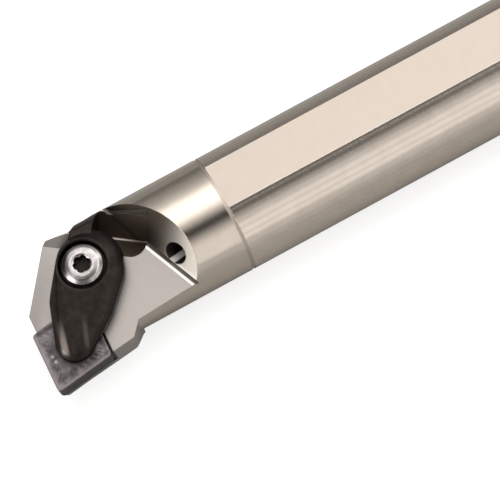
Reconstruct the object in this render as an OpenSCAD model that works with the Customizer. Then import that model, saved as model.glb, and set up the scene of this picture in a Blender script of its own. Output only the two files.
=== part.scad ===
// Coolant-through boring bar with a double clamp, right hand.
// A round steel shank carries a slanted seat for a rhombic insert. A black clamp, drawn down
// by one screw, holds the insert by its hole and by its top face, and pulls it into the seat.
// Frame: the origin is at the rear end, on the shank's axis. X runs to the cutting corner,
// Y to the side that the corner cuts on, and Z out of the upper flat. All sizes in millimetres.

/* [Shank] */
// Diameter of the round shank
shank_d = 25; // [24.5:0.1:26]
// Length from the rear end to the insert's sharp corner
overall_length = 200; // [120:1:300]
// Length of the head, from the sharp corner back to the turned ring
head_length = 46.9; // [44:0.1:80]
// Depth of the upper flat below the round of the shank
upper_flat_depth = 1.15; // [0.4:0.05:2]
// Depth of the lower flat below the round of the shank
lower_flat_depth = 0.7; // [0.4:0.05:2]
// Chamfer round the rear end
rear_chamfer = 1; // [0.2:0.1:2]
// Width of the turned ring where the flats begin
ring_w = 0.55; // [0.3:0.05:1]
// Depth of the turned ring
ring_depth = 0.2; // [0.1:0.01:0.4]

/* [Coolant] */
// Core diameter of the tapped coolant port in the rear end
port_d = 8.57; // [7.2:0.01:11]
// Depth of the tapped coolant port
port_depth = 12; // [8:0.5:20]
// Diameter of the long coolant bore
bore_d = 7; // [5:0.1:8]
// Diameter of the outlet drilled through the head's back wall
outlet_d = 4.8; // [3:0.1:5]
// Distance from the sharp corner back to the closed end of the long bore
bore_end_setback = 50; // [46:0.5:60]

/* [Insert] */
// Circle that just fits inside the insert's rhombus
insert_ic = 12.7; // [12.2:0.1:13]
// Thickness of the insert
insert_t = 4.76; // [4:0.01:5.5]
// Included angle of the cutting corner
corner_angle = 80; // [78:0.5:84]
// Radius of the insert's four corners
nose_r = 0.8; // [0.4:0.1:1.2]
// Diameter of the hole through the insert
insert_hole_d = 5.16; // [4.9:0.01:5.6]
// Width of the flat land along the insert's cutting edges
land_w = 0.3; // [0.15:0.05:0.6]
// Width of the chip groove inside that land
chip_groove_w = 1.5; // [0.8:0.1:2]
// Depth of the chip groove
chip_groove_depth = 0.25; // [0.1:0.05:0.4]

/* [Seat] */
// Sharp corner's distance from the shank's axis
tip_offset = 17.6; // [17:0.1:18.4]
// Tilt of the seat along the bar: it rises to the rear
back_rake = 5.5; // [4:0.5:7]
// Tilt of the seat across the bar: it rises away from the cutting side
side_rake = 12; // [10:0.5:14]
// Clearance between the insert and its two seat walls
seat_gap = 0.05; // [0.02:0.01:0.15]
// Thickness of the carbide shim under the insert
shim_t = 3.18; // [2.4:0.01:3.6]
// How far the shim's sides stand back from the insert's
shim_inset = 0.5; // [0.3:0.05:0.9]
// Radius of the relief drilled in the corner of the seat
seat_relief_r = 1.1; // [0.6:0.1:1.3]
// Width of the relief along the top of the seat's two walls
wall_relief_w = 0.45; // [0.2:0.05:0.7]
// Depth of that relief below the deck
wall_relief_depth = 1; // [0.5:0.1:1.5]

/* [Shim screw] */
// Thread diameter of the screw that holds the shim
shim_screw_d = 3.5; // [3:0.1:4]
// Head diameter of that screw
shim_head_d = 6; // [5.4:0.1:6.6]
// Length of that screw
shim_screw_l = 8; // [7:0.5:8.5]

/* [Head] */
// Depth of the open deck below the insert's top face
deck_drop = 1.65; // [1:0.05:2.2]
// Distance from the sharp corner to the foot of the back wall
wall_distance = 34.15; // [33:0.1:36]
// Direction that the back wall faces, turned from the bar's axis to the cutting side
wall_turn = 19.5; // [15:0.5:24]
// Backward lean of the back wall
wall_lean = 40.4; // [35:0.2:44]
// Width of the relief groove along the foot of the back wall
relief_w = 0.7; // [0.4:0.05:1.2]
// How far that groove bites into the back wall
relief_bite = 0.5; // [0.2:0.05:0.7]
// Depth of that relief groove below the deck
relief_depth = 0.5; // [0.2:0.05:0.8]
// How far the steel under the insert stands back from the insert's front edge
nest_inset = 1; // [0.6:0.05:1.2]
// Angle of the relief milled across the front of the head
front_relief = 40.2; // [36:0.2:46]
// Where that relief starts, inwards from the sharp corner
front_relief_start = 17; // [16:0.1:19]
// Where the nest's side ends, back from the sharp corner
nest_length = 18.4; // [17:0.1:20]
// How far the nest's side lies inwards of the sharp corner
nest_side = 2.25; // [1.8:0.05:2.5]
// Lean of the nest's back wall, forwards with depth
nest_lean = 4; // [0:0.5:12]
// How far the head's round grows beyond the shank's radius at the cutting end
nest_growth = 2.45; // [1.8:0.05:2.7]
// How far the head's round shifts to the cutting side at the cutting end
nest_shift = 5.2; // [4.5:0.05:5.6]

/* [Clamp] */
// Distance between the clamp screw and the middle of the insert
clamp_reach = 15.87; // [15:0.1:17]
// Direction of the clamp, turned from the bar's axis to the cutting side
clamp_turn = 50.9; // [47:0.1:54]
// Radius of the clamp's broad end
clamp_r = 7; // [6.6:0.1:7.2]
// Radius of the clamp's nose
clamp_nose_r = 4; // [3.6:0.1:4.4]
// Height of the clamp's shoulder above the insert's top face
clamp_side_h = 2.1; // [1.8:0.1:2.4]
// Height of the clamp's crown above the insert's top face
clamp_crown_h = 3.4; // [3.2:0.1:4]
// Height of the bevel round the clamp's shoulder
clamp_bevel = 1; // [0.6:0.1:1.4]
// Clearance between the clamp's underside and the deck
clamp_deck_gap = 0.35; // [0.25:0.05:0.6]
// Clearance between the clamp's nose and the insert's top face
clamp_seat_gap = 0.02; // [0.01:0.01:0.1]
// Diameter of the pin under the clamp's nose
pin_d = 4.4; // [3.8:0.1:4.5]
// Depth of that pin below the insert's top face
pin_depth = 2.2; // [1.5:0.1:2.6]

/* [Tail groove] */
// Near edge of the groove behind the clamp screw
groove_near = 3.7; // [3.5:0.1:4.2]
// Width of the groove on the deck
groove_w = 8.8; // [8:0.1:9.6]
// Distance of the groove's closed end from the clamp's middle line
groove_end = 11.3; // [10.5:0.1:12]
// Corner radius at the closed end
groove_end_r = 3.3; // [2:0.1:4]
// Width of the clamp's tail and of its foot in the groove
foot_w = 4.5; // [3.6:0.1:5]
// Middle of that tail, off the clamp's middle line
foot_off = 1.7; // [1.3:0.1:2.1]
// Width of the flat at the bottom of the groove
groove_flat = 0.4; // [0.2:0.1:0.8]
// Clearance of the foot from the groove's near slope
foot_gap = 0.35; // [0.2:0.05:0.6]

/* [Clamp screw] */
// Thread diameter of the clamp screw
screw_d = 5; // [4.6:0.1:5]
// Head diameter of the clamp screw
head_d = 8.4; // [7.6:0.1:8.6]
// Height of the clamp screw's head
head_h = 2.5; // [2.2:0.1:2.8]
// Height of the head's seat above the insert's top face
head_seat_h = 1.4; // [1:0.1:1.6]
// Length of the thread below the head
screw_l = 15; // [12:0.5:16]
// Width across the points of the six-lobe socket
socket_w = 3.5; // [3.2:0.1:4.2]
// Depth of the six-lobe socket
socket_depth = 1.8; // [1.2:0.1:2]
// Clearance all round the head in the clamp
head_gap = 0.6; // [0.4:0.05:0.8]
// Clearance round a thread in its tapped hole
thread_gap = 0.05; // [0.02:0.01:0.1]

/* [Spring] */
// Wire of the spring that lifts the clamp
spring_wire = 0.5; // [0.4:0.05:0.5]
// Inside clearance between the spring and the screw
spring_gap = 0.15; // [0.1:0.05:0.2]
// Number of turns of the spring
spring_turns = 4; // [3:0.5:5]
// Depth of the spring's pocket below the deck
spring_pocket_depth = 3; // [2.4:0.1:4]
// Depth of the spring's recess in the clamp
spring_recess_depth = 0.6; // [0.4:0.1:1]

/* [Hidden] */
$fn = 64;

// Steps of a round corner in an outline
arc_steps = 6;
// Long enough to pass right through the bar
far = 60;
// Small overrun that keeps cut faces from coinciding
over = 0.1;

shank_r = shank_d / 2;
// Chamfer round the clamp's counterbore, and how far its ground tail stays inside the bar's round
rim_chamfer = 0.4;
tail_stand_back = 0.12;
ring_x = overall_length - head_length;

// The seat's frame: its origin is the sharp corner at the insert's top face, X runs forwards,
// Y to the cutting side and Z straight out of the insert's face.
module seat() translate([overall_length, tip_offset, 0]) rotate([-side_rake, back_rake, 0]) children();

// A point of the seat's frame in the bar's frame
function from_seat(p) =
    let (y1 = p[1] * cos(side_rake) + p[2] * sin(side_rake),
         z1 = p[2] * cos(side_rake) - p[1] * sin(side_rake))
    [overall_length + p[0] * cos(back_rake) + z1 * sin(back_rake),
     tip_offset + y1,
     z1 * cos(back_rake) - p[0] * sin(back_rake)];

// The insert's rhombus: directions of the side edge and the front edge away from the corner
lead = (90 - corner_angle) / 2;
side_dir = [-cos(lead), -sin(lead)];
front_dir = [-sin(lead), -cos(lead)];
edge_length = insert_ic / sin(corner_angle);
insert_mid = (side_dir + front_dir) * edge_length / 2;

// The clamp screw stands behind the insert, in line with the clamp
clamp_dir = [cos(clamp_turn), sin(clamp_turn)];
screw_at = insert_mid - clamp_reach * clamp_dir;

// The clamp's frame: its origin is on the screw's axis at the height of the insert's top face,
// X runs to the clamp's nose.
module clamp_frame() seat() translate([screw_at[0], screw_at[1], 0]) rotate([0, 0, clamp_turn]) children();

// Heights in the seat's frame
deck_z = -deck_drop;
seat_z = -insert_t - shim_t;
clamp_under_z = deck_z + clamp_deck_gap;
spring_r = screw_d / 2 + spring_gap + spring_wire / 2;
spring_pocket_r = spring_r + spring_wire / 2 + spring_gap;
groove_bottom = groove_near + groove_w / 2;
groove_depth = (groove_w - groove_flat) / 2;

function unit(v) = v / norm(v);

// Points of an arc that rounds corner b of an outline that runs from a through b to c
function round_corner(a, b, c, r) =
    let (to_a = unit(a - b),
         to_c = unit(c - b),
         half = acos(to_a * to_c) / 2,
         middle = b + unit(to_a + to_c) * r / sin(half),
         from = b + to_a * r / tan(half) - middle,
         to = b + to_c * r / tan(half) - middle,
         start = atan2(from[1], from[0]),
         turn = atan2(from[0] * to[1] - from[1] * to[0], from * to))
    [for (i = [0:arc_steps]) middle + r * [cos(start + turn * i / arc_steps), sin(start + turn * i / arc_steps)]];

// An outline whose corners are rounded, each by its own radius. A radius of 0 leaves the corner sharp.
function rounded(points, radii) =
    let (n = len(points))
    [for (i = [0:n - 1])
        each radii[i] > 0
            ? round_corner(points[(i + n - 1) % n], points[i], points[(i + 1) % n], radii[i])
            : [points[i]]];

// The insert's outline, drawn in by an inset on all four sides
function rhombus(inset, r) =
    let (k = 1 - 2 * inset / insert_ic,
         a = side_dir * edge_length * k,
         b = front_dir * edge_length * k,
         start = insert_mid * (1 - k))
    rounded([start, start + a, start + a + b, start + b], [r, r, r, r]);

// Carries a rod's Z axis onto the line from one point to another
module along(from, to) {
    d = to - from;
    translate(from) rotate([0, acos(d[2] / norm(d)), atan2(d[1], d[0])]) children();
}

// The shank's round, from a start to an end
module round_bar(from, to, r) translate([from, 0, 0]) rotate([0, 90, 0]) cylinder(r = r, h = to - from);

// The front of the head in plan: square to the insert, then relieved across to the far side
module head_plan() {
    front = -nest_inset;
    slope = tan(lead);
    start = front - front_relief_start * slope;
    polygon([
        [-overall_length - far, far],
        [front + far * slope, far],
        [start, -front_relief_start],
        [start - (far - front_relief_start) * tan(front_relief), -far],
        [-overall_length - far, -far]
    ]);
}

// The nest that carries the insert out beyond the shank's round
module nest() {
    inner = -nest_side - 2.85;
    back = -nest_length - 2.75;
    outline = rounded(
        [
            [back - 0.4, inner - 0.05],
            [back, inner],
            [-nest_length, -nest_side],
            [-nest_inset, -nest_inset * 1.2],
            [-nest_inset - 25 * tan(lead), -25],
            [back - 0.4, -25]
        ],
        [0, 0.9, 0.5, 1.5, 0, 0]
    );
    root = nest_length + 6;
    share = 1 / 3.5;
    intersection() {
        seat() translate([back, 0, deck_z]) rotate([0, -nest_lean, 0])
            translate([-back, 0, -far / 2]) linear_extrude(far) polygon(outline);
        along(
            [overall_length - root, nest_shift * share, nest_growth * share],
            [overall_length, nest_shift, nest_growth]
        )
            translate([0, 0, -3]) cylinder(
                r1 = shank_r + nest_growth * share * 0.8,
                r2 = shank_r + nest_growth * 1.03,
                h = root + 6
            );
    }
}

// Everything above the deck and in front of the slanted back wall, with the relief groove at its foot
module deck_cut() {
    rise = far;
    back = -wall_distance - relief_bite;
    profile = [
        [-wall_distance - rise * tan(wall_lean), deck_z + rise],
        [back, deck_z + relief_bite / tan(wall_lean)],
        [back, deck_z - relief_depth],
        [back + relief_w, deck_z - relief_depth],
        [back + relief_w, deck_z],
        [far, deck_z],
        [far, deck_z + rise]
    ];
    seat() rotate([0, 0, wall_turn]) rotate([90, 0, 0])
        translate([0, 0, -far]) linear_extrude(2 * far) polygon(profile);
}

// Open corner between two walls that stand a gap away from the insert, from a height upwards
module seat_corner(gap, from) {
    corner = insert_mid * 2 - [gap, gap];
    translate([0, 0, from]) linear_extrude(far) polygon([
        corner,
        corner - side_dir * 2 * edge_length,
        [far, far],
        corner - front_dir * 2 * edge_length
    ]);
}

// The insert's seat: two walls relieved along their top, a floor and a relieved corner
module seat_cut() {
    corner = insert_mid * 2 - [seat_gap, seat_gap];
    seat() {
        seat_corner(seat_gap, seat_z);
        seat_corner(seat_gap + wall_relief_w, deck_z - wall_relief_depth);
        translate([corner[0], corner[1], seat_z])
            cylinder(r = seat_relief_r, h = insert_t + shim_t - deck_drop + over);
    }
}

// The V groove that the clamp's foot slides down, with its round closed end
module groove_cut() {
    profile = [
        [-groove_near, deck_z],
        [-groove_bottom + groove_flat / 2, deck_z - groove_depth],
        [-groove_bottom - groove_flat / 2, deck_z - groove_depth],
        [-groove_near - groove_w, deck_z],
        [-groove_near - groove_w - 0.4, far],
        [-groove_near, far]
    ];
    plan = rounded(
        [[-groove_near, groove_end], [-far, groove_end], [-far, -far], [-groove_near, -far]],
        [groove_end_r, 0, 0, 0]
    );
    clamp_frame() intersection() {
        rotate([90, 0, 0]) translate([0, 0, -far]) linear_extrude(2 * far) polygon(profile);
        translate([0, 0, -far]) linear_extrude(2 * far) polygon(plan);
    }
}

// Tapped hole and spring pocket of the clamp screw
module clamp_screw_hole() {
    clamp_frame() {
        translate([0, 0, head_seat_h - screw_l - 1.5])
            cylinder(r = screw_d / 2 + thread_gap, h = screw_l);
        translate([0, 0, deck_z - spring_pocket_depth])
            cylinder(r = spring_pocket_r, h = spring_pocket_depth + over);
    }
}

// Tapped hole of the shim screw
module shim_screw_hole() {
    seat() translate([insert_mid[0], insert_mid[1], seat_z - shim_screw_l])
        cylinder(r = shim_screw_d / 2 + thread_gap, h = shim_screw_l + over);
}

// Port, long bore and the outlet that opens in the back wall
module coolant_way() {
    bore_end = overall_length - bore_end_setback;
    mouth = from_seat([
        -wall_distance * cos(wall_turn) - 2.2,
        -wall_distance * sin(wall_turn) - 0.67,
        deck_z + outlet_d / 2 - 0.21
    ]);
    root = [bore_end - bore_d / 2, 0, 0];
    translate([-over, 0, 0]) {
        round_bar(0, port_depth + over, port_d / 2);
        round_bar(0, bore_end + over, bore_d / 2);
    }
    along(root, mouth) cylinder(r = outlet_d / 2, h = norm(mouth - root) + 6);
}

module flats() {
    for (flat = [[0, upper_flat_depth], [180, lower_flat_depth]])
        rotate([flat[0], 0, 0]) translate([-over, -shank_r, shank_r - flat[1]])
            cube([ring_x + over, shank_d, flat[1] + over]);
}

module ring_groove() {
    difference() {
        round_bar(ring_x, ring_x + ring_w, shank_r + 1);
        round_bar(ring_x - 1, ring_x + ring_w + 1, shank_r - ring_depth);
    }
}

// Shank, neck and head are one piece of steel
module bar() {
    color([0.72, 0.69, 0.65])
        difference() {
            intersection() {
                union() {
                    translate([rear_chamfer, 0, 0]) rotate([0, -90, 0])
                        cylinder(r1 = shank_r, r2 = shank_r - rear_chamfer, h = rear_chamfer);
                    round_bar(rear_chamfer, overall_length + 2, shank_r);
                    nest();
                }
                seat() translate([0, 0, -far]) linear_extrude(2 * far) head_plan();
            }
            flats();
            ring_groove();
            deck_cut();
            seat_cut();
            groove_cut();
            clamp_screw_hole();
            shim_screw_hole();
            coolant_way();
        }
}

// Countersink shared by the shim and its screw
shim_head_r = shim_head_d / 2;
shim_head_h = shim_head_r - shim_screw_d / 2;
shim_head_sink = 0.2;

// Carbide plate under the insert
module shim() {
    color([0.42, 0.42, 0.43])
        seat() difference() {
            translate([0, 0, seat_z]) linear_extrude(shim_t) polygon(rhombus(shim_inset, nose_r));
            translate([insert_mid[0], insert_mid[1], 0]) {
                translate([0, 0, seat_z - over])
                    cylinder(r = shim_screw_d / 2 + seat_gap, h = shim_t + 2 * over);
                translate([0, 0, -insert_t - shim_head_sink - shim_head_h])
                    cylinder(
                        r1 = shim_screw_d / 2 + seat_gap,
                        r2 = shim_head_r + seat_gap,
                        h = shim_head_h
                    );
                translate([0, 0, -insert_t - shim_head_sink])
                    cylinder(r = shim_head_r + seat_gap, h = shim_head_sink + over);
            }
        }
}

// Countersunk screw that holds the shim down
module shim_screw() {
    top = -insert_t - shim_head_sink;
    color([0.25, 0.25, 0.26])
        seat() translate([insert_mid[0], insert_mid[1], 0]) difference() {
            union() {
                translate([0, 0, top - shim_head_h])
                    cylinder(r1 = shim_screw_d / 2, r2 = shim_head_r, h = shim_head_h);
                translate([0, 0, top - shim_screw_l])
                    cylinder(r = shim_screw_d / 2, h = shim_screw_l - shim_head_h);
            }
            translate([0, 0, top - 1.4]) cylinder(r = 1.15, h = 1.4 + over, $fn = 6);
        }
}

// Band between two insets of the insert's outline
module chip_groove() {
    linear_extrude(chip_groove_depth + over) difference() {
        polygon(rhombus(land_w, nose_r * 0.7));
        polygon(rhombus(land_w + chip_groove_w, nose_r));
    }
}

// Negative insert, with the same chip groove on both faces
module insert() {
    color([0.4, 0.37, 0.4])
        seat() difference() {
            translate([0, 0, -insert_t]) linear_extrude(insert_t) polygon(rhombus(0, nose_r));
            translate([insert_mid[0], insert_mid[1], -insert_t - over])
                cylinder(d = insert_hole_d, h = insert_t + 2 * over);
            translate([0, 0, -chip_groove_depth]) chip_groove();
            translate([0, 0, -insert_t + chip_groove_depth]) mirror([0, 0, 1]) chip_groove();
        }
}

// One station of the clamp's body: upright sides, then a bevel up to the shoulder
module station(x, y, r) {
    bevel_z = clamp_side_h - clamp_bevel;
    translate([x, y, clamp_under_z]) cylinder(r = r, h = bevel_z - clamp_under_z, $fn = 32);
    translate([x, y, bevel_z]) cylinder(r1 = r, r2 = r - clamp_bevel, h = clamp_bevel, $fn = 32);
}

// The clamp's body: broad round the screw, narrow at the nose, crowned on top
module clamp_body() {
    nose_at = clamp_reach - 0.5;
    hull() {
        station(0.5, 1.25, clamp_r);
        station(-1, 1, clamp_r - 0.2);
        station(7, 0.8, clamp_r - 0.4);
        station(nose_at, 0.75, clamp_nose_r);
        cylinder(r = head_d / 2 + head_gap + rim_chamfer + 0.15, h = clamp_crown_h, $fn = 32);
        translate([nose_at - 1.2, 0.7, 0]) cylinder(r = clamp_nose_r * 0.4, h = clamp_side_h + 0.4, $fn = 32);
    }
}

// The tail and its foot, which slides down the groove's far slope and draws the clamp back
module clamp_tail() {
    blunt = 0.5;
    bottom = deck_z - groove_depth + blunt;
    top = clamp_side_h;
    profile = [
        [0, top + 0.6],
        [0, clamp_under_z],
        [-groove_near - foot_gap, clamp_under_z],
        [-groove_near - foot_gap, deck_z],
        [-groove_bottom - foot_gap + blunt, bottom],
        [-groove_bottom - blunt + clamp_seat_gap, bottom],
        [-groove_near - groove_w + clamp_seat_gap, deck_z],
        [-groove_near - groove_w + clamp_seat_gap, top - 0.4],
        [-groove_near - 3, top]
    ];
    translate([0, foot_w / 2 - foot_off, 0]) rotate([90, 0, 0]) linear_extrude(foot_w) polygon(profile);
}

module clamp() {
    color([0.13, 0.12, 0.12])
        difference() {
            clamp_frame() union() {
                clamp_body();
                clamp_tail();
                translate([clamp_reach, 0, -pin_depth]) cylinder(d = pin_d, h = pin_depth + clamp_side_h - 0.5);
            }
            // The tail is ground to the bar's own round
            difference() {
                clamp_frame() translate([-far - groove_near, -far / 2, -far / 2]) cube([far, far, far]);
                round_bar(overall_length - head_length, overall_length + far, shank_r - tail_stand_back);
            }
            // Room for the insert, apart from the pin
            difference() {
                seat() translate([0, 0, -insert_t]) linear_extrude(insert_t + clamp_seat_gap)
                    polygon(rhombus(-clamp_deck_gap, nose_r));
                clamp_frame() translate([clamp_reach, 0, -far / 2]) cylinder(d = pin_d, h = far);
            }
            clamp_frame() {
                translate([0, 0, clamp_under_z - over])
                    cylinder(r = screw_d / 2 + spring_gap, h = clamp_crown_h + far);
                translate([0, 0, head_seat_h]) cylinder(r = head_d / 2 + head_gap, h = far);
                translate([0, 0, clamp_crown_h - rim_chamfer]) cylinder(
                    r1 = head_d / 2 + head_gap,
                    r2 = head_d / 2 + head_gap + rim_chamfer + over,
                    h = rim_chamfer + over
                );
                translate([0, 0, clamp_under_z - over])
                    cylinder(r = spring_pocket_r, h = spring_recess_depth + over);
            }
        }
}

// Six-lobe socket, as a star of six round lobes
module six_lobe(w, depth) {
    lobe_r = w * 0.155;
    cylinder(r = w * 0.36, h = depth);
    for (i = [0:5]) rotate([0, 0, 60 * i]) translate([w / 2 - lobe_r, 0, 0]) cylinder(r = lobe_r, h = depth);
}

// Clamp screw: domed head with a flat ring round the socket
module clamp_screw() {
    head_r = head_d / 2;
    ring_r = head_r * 0.66;
    edge_h = head_h * 0.55;
    color([0.8, 0.8, 0.8])
        clamp_frame() difference() {
            union() {
                translate([0, 0, head_seat_h]) {
                    cylinder(r = head_r, h = edge_h);
                    translate([0, 0, edge_h]) cylinder(r1 = head_r, r2 = ring_r, h = head_h - edge_h);
                }
                translate([0, 0, head_seat_h - screw_l + 0.5]) cylinder(d = screw_d, h = screw_l - 0.5);
                translate([0, 0, head_seat_h - screw_l])
                    cylinder(d1 = screw_d - 1, d2 = screw_d, h = 0.5);
            }
            translate([0, 0, head_seat_h + head_h - socket_depth]) six_lobe(socket_w, socket_depth + over);
        }
}

// One ring of the spring's wire at a turn angle, with its centre at a height
function wire_ring(angle, height, sides) =
    [for (i = [0:sides - 1])
        let (a = 360 * i / sides, r = spring_r + spring_wire / 2 * cos(a))
        [r * cos(angle), r * sin(angle), height + spring_wire / 2 * sin(a)]];

// Coil spring round the screw, from the floor of its pocket to the clamp
module clamp_spring() {
    sides = 8;
    steps_per_turn = 20;
    steps = spring_turns * steps_per_turn;
    low = deck_z - spring_pocket_depth + spring_wire / 2 + thread_gap;
    high = clamp_under_z + spring_recess_depth - spring_wire / 2 - thread_gap;
    points = [for (k = [0:steps]) each wire_ring(360 * k / steps_per_turn, low + (high - low) * k / steps, sides)];
    walls = [for (k = [0:steps - 1], i = [0:sides - 1])
        let (j = (i + 1) % sides)
        [k * sides + i, k * sides + j, (k + 1) * sides + j, (k + 1) * sides + i]];
    start_cap = [for (i = [sides - 1:-1:0]) i];
    end_cap = [for (i = [0:sides - 1]) steps * sides + i];
    color([0.55, 0.55, 0.56])
        clamp_frame() polyhedron(points, concat([start_cap], walls, [end_cap]));
}

bar();
shim();
shim_screw();
insert();
clamp();
clamp_screw();
clamp_spring();
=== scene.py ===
"""Looks of a coolant-through boring bar with a slanted rhombic insert and a black lever clamp.

Sizes are millimetres, and Blender works in metres. The bar lies along X, its cutting corner points
along Y and its upper flat faces Z. The insert's seat has a frame of its own, tilted by the two rake
angles, and the clamp has one that is turned in the seat's plane.
"""
import math

import bmesh
import bpy
import numpy as np
from mathutils import Matrix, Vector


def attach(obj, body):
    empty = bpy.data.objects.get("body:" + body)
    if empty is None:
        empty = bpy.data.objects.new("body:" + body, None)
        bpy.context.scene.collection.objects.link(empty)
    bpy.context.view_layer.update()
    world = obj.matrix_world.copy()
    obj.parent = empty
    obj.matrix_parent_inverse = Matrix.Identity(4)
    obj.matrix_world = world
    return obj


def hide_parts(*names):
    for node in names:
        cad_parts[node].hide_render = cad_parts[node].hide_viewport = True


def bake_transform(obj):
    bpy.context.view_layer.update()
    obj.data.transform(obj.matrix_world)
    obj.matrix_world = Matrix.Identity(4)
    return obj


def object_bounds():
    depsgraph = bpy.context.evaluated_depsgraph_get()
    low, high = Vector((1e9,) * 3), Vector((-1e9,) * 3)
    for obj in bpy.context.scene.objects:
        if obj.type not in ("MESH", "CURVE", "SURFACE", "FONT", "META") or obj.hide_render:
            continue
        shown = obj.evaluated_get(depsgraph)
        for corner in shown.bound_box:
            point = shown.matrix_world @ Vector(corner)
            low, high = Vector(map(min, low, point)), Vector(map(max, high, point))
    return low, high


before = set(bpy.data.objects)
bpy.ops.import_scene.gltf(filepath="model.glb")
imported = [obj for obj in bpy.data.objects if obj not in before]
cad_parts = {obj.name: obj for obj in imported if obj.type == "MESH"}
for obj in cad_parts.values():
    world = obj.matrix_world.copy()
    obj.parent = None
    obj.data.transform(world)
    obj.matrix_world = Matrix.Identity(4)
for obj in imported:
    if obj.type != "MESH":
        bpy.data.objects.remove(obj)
cad_box = [list(corner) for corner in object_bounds()]
MM = 0.001

# The bar: its cutting corner, the turned ring behind the neck, the shank's radius, how near the
# flats come to the axis, and the coolant port's radius, depth and thread pitch
TIP = np.array([200.0, 17.6, 0.0])
RING_X = TIP[0] - 46.9
SHANK_R = 12.5
FLAT_R = SHANK_R - 1.15
PORT_R, PORT_DEPTH, PORT_PITCH = 4.285, 12.0, 0.907

# The seat's tilt, back rake along the bar and side rake across it, and the deck's height in its frame
BACK_RAKE, SIDE_RAKE = math.radians(5.5), math.radians(12.0)
SEAT = np.array([
    [math.cos(BACK_RAKE), 0, math.sin(BACK_RAKE)],
    [0, 1, 0],
    [-math.sin(BACK_RAKE), 0, math.cos(BACK_RAKE)],
]) @ np.array([
    [1, 0, 0],
    [0, math.cos(SIDE_RAKE), math.sin(SIDE_RAKE)],
    [0, -math.sin(SIDE_RAKE), math.cos(SIDE_RAKE)],
])
SEAT_Z = SEAT[:, 2]
DECK_Z = -1.65

# The insert: inscribed circle, thickness, corner angle and radius, hole, and its two edges' directions
INSERT_IC, INSERT_T, CORNER, NOSE_R = 12.7, 4.76, math.radians(80), 0.8
INSERT_HOLE_R = 2.58
LEAD = (math.pi / 2 - CORNER) / 2
EDGE = INSERT_IC / math.sin(CORNER)
SIDE_DIR = np.array([-math.cos(LEAD), -math.sin(LEAD)])
FRONT_DIR = np.array([-math.sin(LEAD), -math.cos(LEAD)])
INSERT_MID = (SIDE_DIR + FRONT_DIR) * EDGE / 2

# The clamp: its turn in the seat's plane, and its screw, at a distance from the insert's middle
CLAMP_TURN, CLAMP_REACH = math.radians(50.9), 15.87
SCREW_AT = INSERT_MID - CLAMP_REACH * np.array([math.cos(CLAMP_TURN), math.sin(CLAMP_TURN)])


def from_seat(points):
    """Points of the seat's frame (…, 3) in the bar's frame: the tip plus the seat's rotation."""
    return TIP + points @ SEAT.T


def from_clamp(points):
    """Points of the clamp's frame in the bar's frame: turned by the clamp's angle about the screw,
    then set out from the cutting corner."""
    c, s = math.cos(CLAMP_TURN), math.sin(CLAMP_TURN)
    x, y, z = points[..., 0], points[..., 1], points[..., 2]
    return from_seat(np.stack([SCREW_AT[0] + c * x - s * y, SCREW_AT[1] + s * x + c * y, z], -1))


# Surfaces
def surface(name, points, poles=None):
    """A mesh from a grid of points (rows, columns, 3). The last column joins the first one. With two
    poles the first and the last row each close with a fan onto a point, and without them the last
    row joins the first one."""
    rows, cols = points.shape[:2]
    row = np.arange(rows - 1 if poles else rows)[:, None]
    col = np.arange(cols)[None, :]
    next_row, next_col = (row + 1) % rows, (col + 1) % cols
    quads = np.stack([row * cols + col, row * cols + next_col,
                      next_row * cols + next_col, next_row * cols + col], -1).reshape(-1, 4)
    verts = points.reshape(-1, 3)
    tris = np.zeros((0, 3), int)
    if poles:
        first = np.arange(cols)
        last = (rows - 1) * cols + first
        tris = np.concatenate([
            np.stack([np.roll(first, -1), first, np.full(cols, len(verts))], -1),
            np.stack([last, np.roll(last, -1), np.full(cols, len(verts) + 1)], -1),
        ])
        verts = np.vstack([verts, *poles])
    corners = np.concatenate([quads.ravel(), tris.ravel()]).astype(np.int32)
    sizes = np.concatenate([np.full(len(quads), 4), np.full(len(tris), 3)])
    mesh = bpy.data.meshes.new(name)
    mesh.vertices.add(len(verts))
    mesh.vertices.foreach_set("co", (verts * MM).astype(np.float32).ravel())
    mesh.loops.add(len(corners))
    mesh.loops.foreach_set("vertex_index", corners)
    mesh.polygons.add(len(sizes))
    mesh.polygons.foreach_set("loop_start", (np.cumsum(sizes) - sizes).astype(np.int32))
    mesh.polygons.foreach_set("use_smooth", np.ones(len(sizes), bool))
    mesh.update(calc_edges=True)
    mesh.validate()
    return in_scene(name, mesh)


def in_scene(name, data):
    """A new object at the origin that shows a mesh or holds a camera."""
    obj = bpy.data.objects.new(name, data)
    bpy.context.scene.collection.objects.link(obj)
    return obj


def smooth(t):
    """Smooth step: 0 below 0, 1 above 1, and 3t² − 2t³ between."""
    t = np.clip(t, 0, 1)
    return t * t * (3 - 2 * t)


def unit(vector):
    """The vector divided by its length."""
    return vector / np.linalg.norm(vector)


def corner_arc(before, corner, after, radius, steps):
    """Points of the arc that rounds a corner. It touches both legs at radius / tan(half the angle)
    from the corner, and its middle lies on the bisector at radius / sin(half the angle). Without a
    radius, or on a straight line, the corner itself."""
    to_before, to_after = unit(before - corner), unit(after - corner)
    half = math.acos(np.clip(to_before @ to_after, -1, 1)) / 2
    if radius <= 0 or half > math.pi / 2 - 0.01:
        return corner[None]
    reach = radius / math.tan(half)
    middle = corner + unit(to_before + to_after) * radius / math.sin(half)
    start, end = corner + to_before * reach - middle, corner + to_after * reach - middle
    turn = math.atan2(start[0] * end[1] - start[1] * end[0], start @ end)
    t = turn * np.linspace(0, 1, steps)
    return middle + np.stack([start[0] * np.cos(t) - start[1] * np.sin(t),
                              start[0] * np.sin(t) + start[1] * np.cos(t)], -1)


def rounded_path(corners, radii, steps):
    """A path through 2-D corners, each inner one rounded by its own radius."""
    corners = np.array(corners, float)
    arcs = [corner_arc(*corners[i:i + 3], radius, steps) for i, radius in enumerate(radii)]
    return np.concatenate([corners[:1], *arcs, corners[-1:]])


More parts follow.
